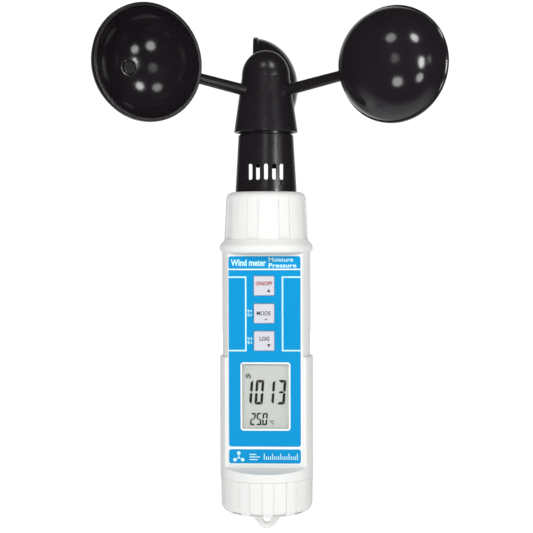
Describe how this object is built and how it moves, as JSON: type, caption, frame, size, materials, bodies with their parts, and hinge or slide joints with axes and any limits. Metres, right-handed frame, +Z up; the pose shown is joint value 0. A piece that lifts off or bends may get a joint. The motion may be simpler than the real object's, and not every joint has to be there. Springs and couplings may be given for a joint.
{
  "type": "cup anemometer",
  "caption": "Hand-held cup anemometer: spinning cup rotor on a slotted sensor neck above a round case with a display, press keys and a screwed battery cap.",
  "frame": {"origin": "centre of the strap hole in the lug under the battery cap", "axes": "+Z up along the case and rotor axis; the front with the display and keys faces -Y; +X is to the right seen from the front"},
  "size_m": [0.1454, 0.1321, 0.2242],
  "materials": {
    "case_plastic": "fine satin moulded white ABS",
    "black_plastic": "glossy black moulded ABS",
    "overlay_film": "printed polyester film, blue with white borders",
    "seal_rubber": "matt black rubber",
    "circuit_board": "green solder mask",
    "component_black": "matt black moulding",
    "cable_jacket": "soft grey-black jacket",
    "plain_steel": "plated steel",
    "bearing_steel": "ground and polished steel",
    "window_clear": "clear acrylic",
    "display": "grey-green reflective liquid crystal cell",
    "key_plastic": "satin off-white",
    "cell_jacket": "plain dark printed jacket",
    "inner_plastic": "black ABS",
    "contact_metal": "nickel plated spring steel",
    "cage_plastic": "natural nylon",
    "spacer_brass": "turned brass"
  },
  "bodies": {
    "housing": {"lower_case": "case_plastic", "upper_case": "case_plastic", "collar_nut": "case_plastic", "front_overlay": "overlay_film", "sensor_neck": "black_plastic", "neck_seal": "seal_rubber", "cap_seal": "seal_rubber", "sensor_board": "circuit_board", "main_board": "circuit_board", "photo_interrupter": "component_black", "humidity_sensor": "component_black", "thermistor": "component_black", "controller_chip": "component_black", "key_switches": "component_black", "sensor_cable": "cable_jacket", "pressure_sensor": "plain_steel", "board_screws": "plain_steel", "lcd_window": "window_clear", "lcd_glass": "display", "lcd_connector": "seal_rubber", "battery_cell_1": "cell_jacket", "battery_cell_2": "cell_jacket", "battery_cell_3": "cell_jacket", "battery_cell_4": "cell_jacket", "battery_holder": "inner_plastic", "top_contacts": "contact_metal", "lower_bearing_outer": "bearing_steel", "upper_bearing_outer": "bearing_steel"},
    "rotor": {"rotor_hub": "black_plastic", "hub_cap": "black_plastic", "rotor_nut": "plain_steel", "arm_rear": "black_plastic", "arm_left": "black_plastic", "arm_right": "black_plastic", "cup_rear": "black_plastic", "cup_left": "black_plastic", "cup_right": "black_plastic", "rotor_shaft": "bearing_steel", "lower_bearing_inner": "bearing_steel", "upper_bearing_inner": "bearing_steel", "bearing_spacer": "spacer_brass", "chopper_disc": "inner_plastic", "shaft_clip": "plain_steel"},
    "lower_ball_set": {"lower_bearing_balls": "bearing_steel", "lower_bearing_cage": "cage_plastic"},
    "upper_ball_set": {"upper_bearing_balls": "bearing_steel", "upper_bearing_cage": "cage_plastic"},
    "power_key": {"power_key": "key_plastic", "power_plunger": "component_black"},
    "hold_key": {"hold_key": "key_plastic", "hold_plunger": "component_black"},
    "record_key": {"record_key": "key_plastic", "record_plunger": "component_black"},
    "cap_carrier": {"contact_plate": "inner_plastic", "cap_contacts": "contact_metal"},
    "battery_cap": {"battery_cap": "case_plastic", "cap_rivet": "plain_steel"}
  },
  "joints": [
    {"name": "rotor_spin", "type": "hinge", "parent": "housing", "child": "rotor", "pos_m": [0, 0, 0.1755], "axis": [0, 0, 1], "continuous": true},
    {"name": "lower_balls_roll", "type": "hinge", "parent": "housing", "child": "lower_ball_set", "pos_m": [0, 0, 0.1715], "axis": [0, 0, 1], "continuous": true},
    {"name": "upper_balls_roll", "type": "hinge", "parent": "housing", "child": "upper_ball_set", "pos_m": [0, 0, 0.1795], "axis": [0, 0, 1], "continuous": true},
    {"name": "power_press", "type": "slide", "parent": "housing", "child": "power_key", "axis": [0, 1, 0], "range_m": [0, 0.0005], "stiffness_N_per_m": 60, "springref_m": -0.001},
    {"name": "hold_press", "type": "slide", "parent": "housing", "child": "hold_key", "axis": [0, 1, 0], "range_m": [0, 0.0005], "stiffness_N_per_m": 60, "springref_m": -0.001},
    {"name": "record_press", "type": "slide", "parent": "housing", "child": "record_key", "axis": [0, 1, 0], "range_m": [0, 0.0005], "stiffness_N_per_m": 60, "springref_m": -0.001},
    {"name": "cap_travel", "type": "slide", "parent": "housing", "child": "cap_carrier", "axis": [0, 0, -1], "range_m": [0, 0.00755]},
    {"name": "cap_turn", "type": "hinge", "parent": "cap_carrier", "child": "battery_cap", "pos_m": [0, 0, 0.012], "axis": [0, 0, -1], "range_deg": [0, 900]}
  ],
  "couplings": [
    {"joint": "lower_balls_roll", "follows": "rotor_spin", "ratio": 0.37846},
    {"joint": "upper_balls_roll", "follows": "rotor_spin", "ratio": 0.37846},
    {"joint": "cap_travel", "follows": "cap_turn", "m_per_rad": 0.00047746}
  ]
}
